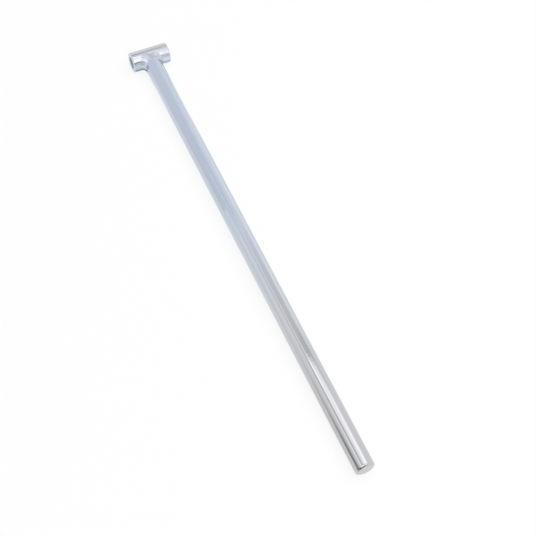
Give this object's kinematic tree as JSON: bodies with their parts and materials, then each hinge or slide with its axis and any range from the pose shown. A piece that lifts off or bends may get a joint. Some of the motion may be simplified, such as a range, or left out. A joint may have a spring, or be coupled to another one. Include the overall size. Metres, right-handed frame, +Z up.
{
  "type": "bicycle seatpost",
  "caption": "Long straight round steel seatpost with a closed lower end, its head coped and welded to a short bored cross tube that takes a saddle's pin.",
  "frame": {"origin": "centre of the cross tube's bore, where its axis crosses the post's axis", "axes": "+X down the post to its closed lower end, +Y along the cross tube, +Z up as the post lies on a flat surface"},
  "size_m": [0.6122, 0.048, 0.0244],
  "materials": {
    "plated_post": "bright zinc plate, blue passivated, fine turning marks",
    "plated_cross_tube": "bright zinc plate, blue passivated",
    "plated_weld": "smooth weld under the zinc plate"
  },
  "bodies": {
    "root": {"post_tube": "plated_post", "cross_tube": "plated_cross_tube", "weld_bead": "plated_weld"}
  },
  "joints": []
}
